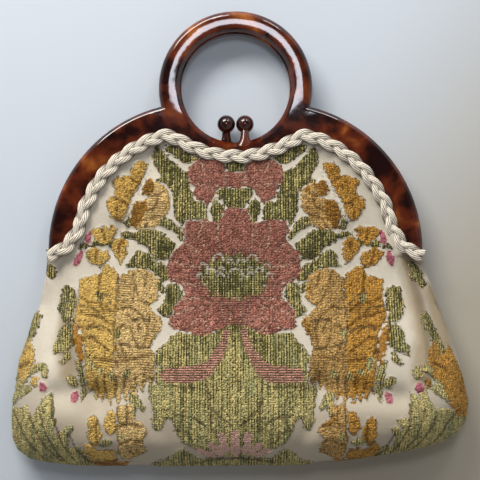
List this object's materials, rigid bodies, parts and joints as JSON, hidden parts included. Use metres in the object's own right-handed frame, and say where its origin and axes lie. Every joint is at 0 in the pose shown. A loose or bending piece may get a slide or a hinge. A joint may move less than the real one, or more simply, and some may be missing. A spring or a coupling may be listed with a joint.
{
  "type": "carpet bag",
  "caption": "Flowered cut-pile carpet bag with a hinged two-part moulded frame, round ring handle, ball clasp, plaited braid edge and cloth lining, lying flat.",
  "frame": {"origin": "under the middle of the bag on the surface that it lies on: centre of the box's bottom face", "axes": "+X to the bag's right seen from its front, +Y from the base towards the handle, +Z out of the front panel, away from the surface it lies on"},
  "size_m": [0.3372, 0.3373, 0.0555],
  "materials": {
    "moulding": "polished mottled tortoiseshell-look plastic",
    "pin": "plain brass pin",
    "braid": "plaited ivory thread",
    "thread": "waxed sewing thread",
    "ground_cloth": "cream ribbed satin ground with raised cut pile",
    "lining": "plain woven lining",
    "rose_pile": "rose cut pile woven into the ground",
    "leaf_pile": "leaf cut pile woven into the ground",
    "gold_pile": "gold cut pile woven into the ground",
    "tan_pile": "tan cut pile woven into the ground"
  },
  "bodies": {
    "back_half": {"back_frame": "moulding", "left_hinge_pin": "pin", "right_hinge_pin": "pin", "back_braid": "braid", "back_stitches": "thread", "back_panel": "ground_cloth", "front_pouch": "ground_cloth", "back_lining": "lining", "pouch_lining": "lining", "lower_rose_pile": "rose_pile", "lower_leaf_pile": "leaf_pile", "lower_gold_pile": "gold_pile", "lower_tan_pile": "tan_pile"},
    "front_half": {"front_frame": "moulding", "front_braid": "braid", "front_stitches": "thread", "front_panel": "ground_cloth", "front_lining": "lining", "upper_rose_pile": "rose_pile", "upper_leaf_pile": "leaf_pile", "upper_gold_pile": "gold_pile", "upper_tan_pile": "tan_pile"}
  },
  "joints": [
    {"name": "frame_hinge", "type": "hinge", "parent": "back_half", "child": "front_half", "pos_m": [0, -0.009, 0.0125], "axis": [1, 0, 0], "range_deg": [0, 70]}
  ]
}
